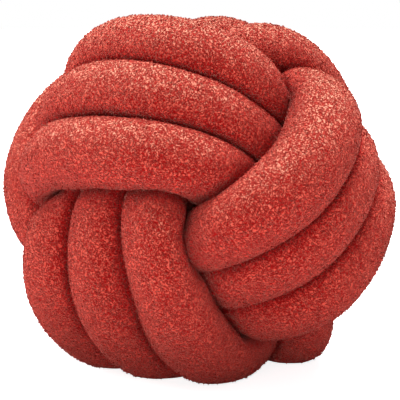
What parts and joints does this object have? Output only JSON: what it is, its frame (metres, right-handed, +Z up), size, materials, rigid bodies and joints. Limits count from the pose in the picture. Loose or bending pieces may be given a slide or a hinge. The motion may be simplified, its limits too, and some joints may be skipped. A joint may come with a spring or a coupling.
{
  "type": "knot cushion",
  "caption": "Ball-shaped knot cushion: one long stuffed fleece tube tied in bands that lie side by side and dive under one another, its ends tucked inside",
  "frame": {"origin": "on the floor, under the middle of the cushion's bounding box", "axes": "+Z up; -Y is the side seen in the picture, where three bands meet; +X is that view's right"},
  "size_m": [0.2986, 0.2874, 0.2688],
  "materials": {
    "terracotta_fleece": "curly teddy fleece, matt, terracotta red"
  },
  "bodies": {
    "root": {"knotted_tube": "terracotta_fleece"}
  },
  "joints": []
}
